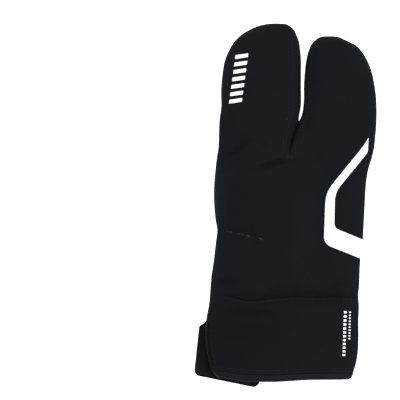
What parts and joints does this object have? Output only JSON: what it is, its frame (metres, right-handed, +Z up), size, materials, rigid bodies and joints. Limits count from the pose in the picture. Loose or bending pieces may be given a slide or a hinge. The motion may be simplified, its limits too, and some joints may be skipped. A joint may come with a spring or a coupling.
{
  "type": "split-finger winter mitten",
  "caption": "Right-hand padded winter mitten with a split finger pocket, reflective stripe, long cuff and closing tab, lying palm down.",
  "frame": {"origin": "centre of the base, on the surface that the mitten lies on", "axes": "+Y to the fingertips, +Z up out of the back of the hand, +X to the little finger side"},
  "size_m": [0.143, 0.2816, 0.0372],
  "materials": {
    "softshell": "matt black softshell, fine weave",
    "palm_cloth": "matt black grippy cloth",
    "gusset_cloth": "black stretch cloth",
    "binding_cloth": "black woven tape",
    "tab_cloth": "black coated webbing, slight sheen",
    "hook_plastic": "black hook and loop",
    "reflective_film": "white reflective film"
  },
  "bodies": {
    "root": {"back_panel": "softshell", "palm_panel": "palm_cloth", "finger_gusset": "gusset_cloth", "thumb_top": "palm_cloth", "thumb_bottom": "palm_cloth", "cuff_back": "softshell", "cuff_palm": "softshell", "slit_binding": "binding_cloth", "hem_back": "softshell", "hem_palm": "softshell", "closing_tab": "tab_cloth", "hook_and_loop_patch": "hook_plastic", "reflective_stripe": "reflective_film"}
  },
  "joints": []
}
